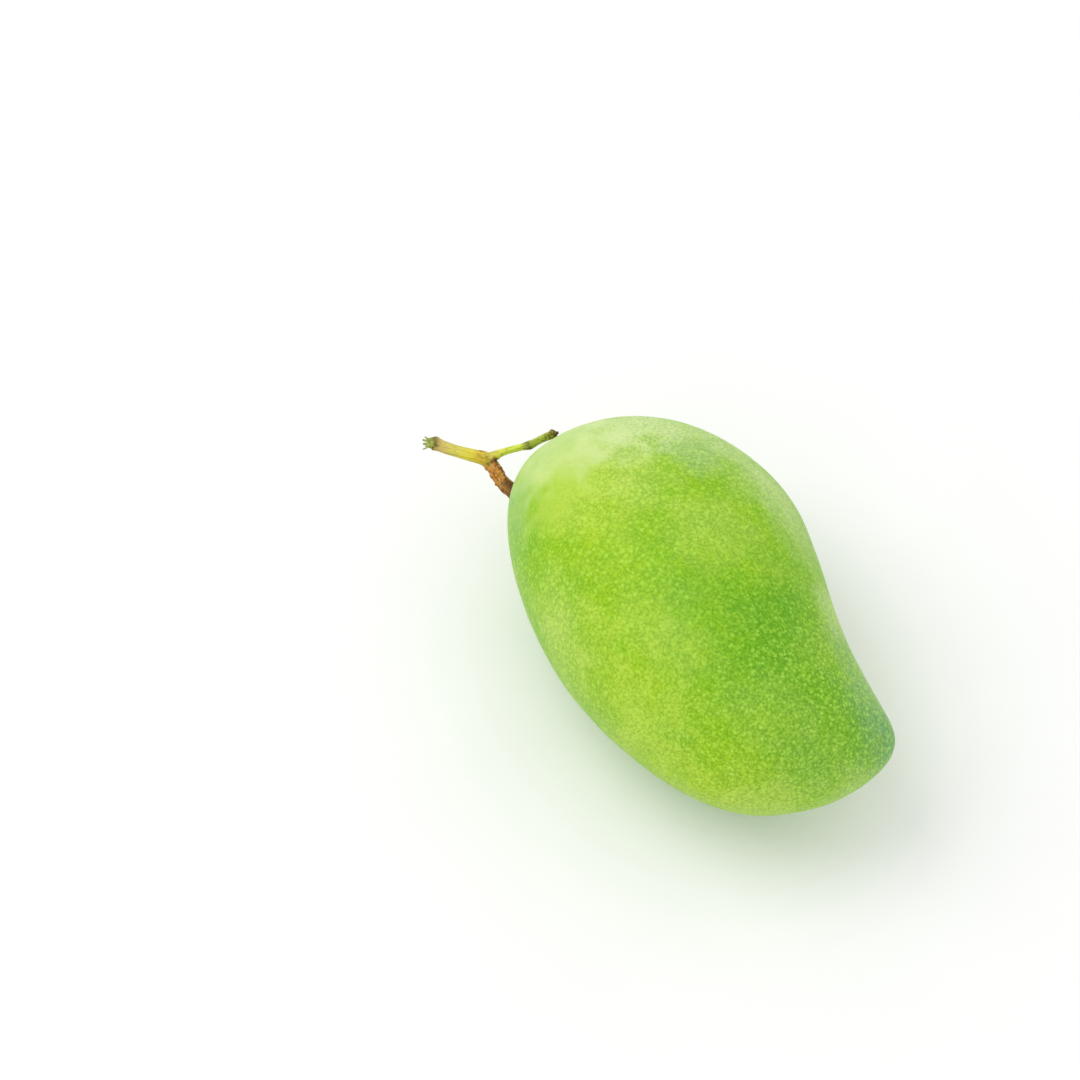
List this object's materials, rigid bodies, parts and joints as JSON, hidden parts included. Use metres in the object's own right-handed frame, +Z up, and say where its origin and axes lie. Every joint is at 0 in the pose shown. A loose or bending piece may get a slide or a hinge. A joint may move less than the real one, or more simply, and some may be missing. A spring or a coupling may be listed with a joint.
{
  "type": "mango",
  "caption": "Green beaked mango as picked, lying on its cheek on a small flat spot, with a short forked stalk.",
  "frame": {"origin": "middle of the small flat spot that the fruit rests on, under its centre of mass", "axes": "+X from the stalk end to the beak, +Y to the hollow side that the beak hooks towards, +Z up through the thickness of the fruit"},
  "size_m": [0.1675, 0.0898, 0.0756],
  "materials": {
    "skin": "satin",
    "bark": "matte"
  },
  "bodies": {
    "root": {"fruit": "skin", "stem": "bark"}
  },
  "joints": []
}
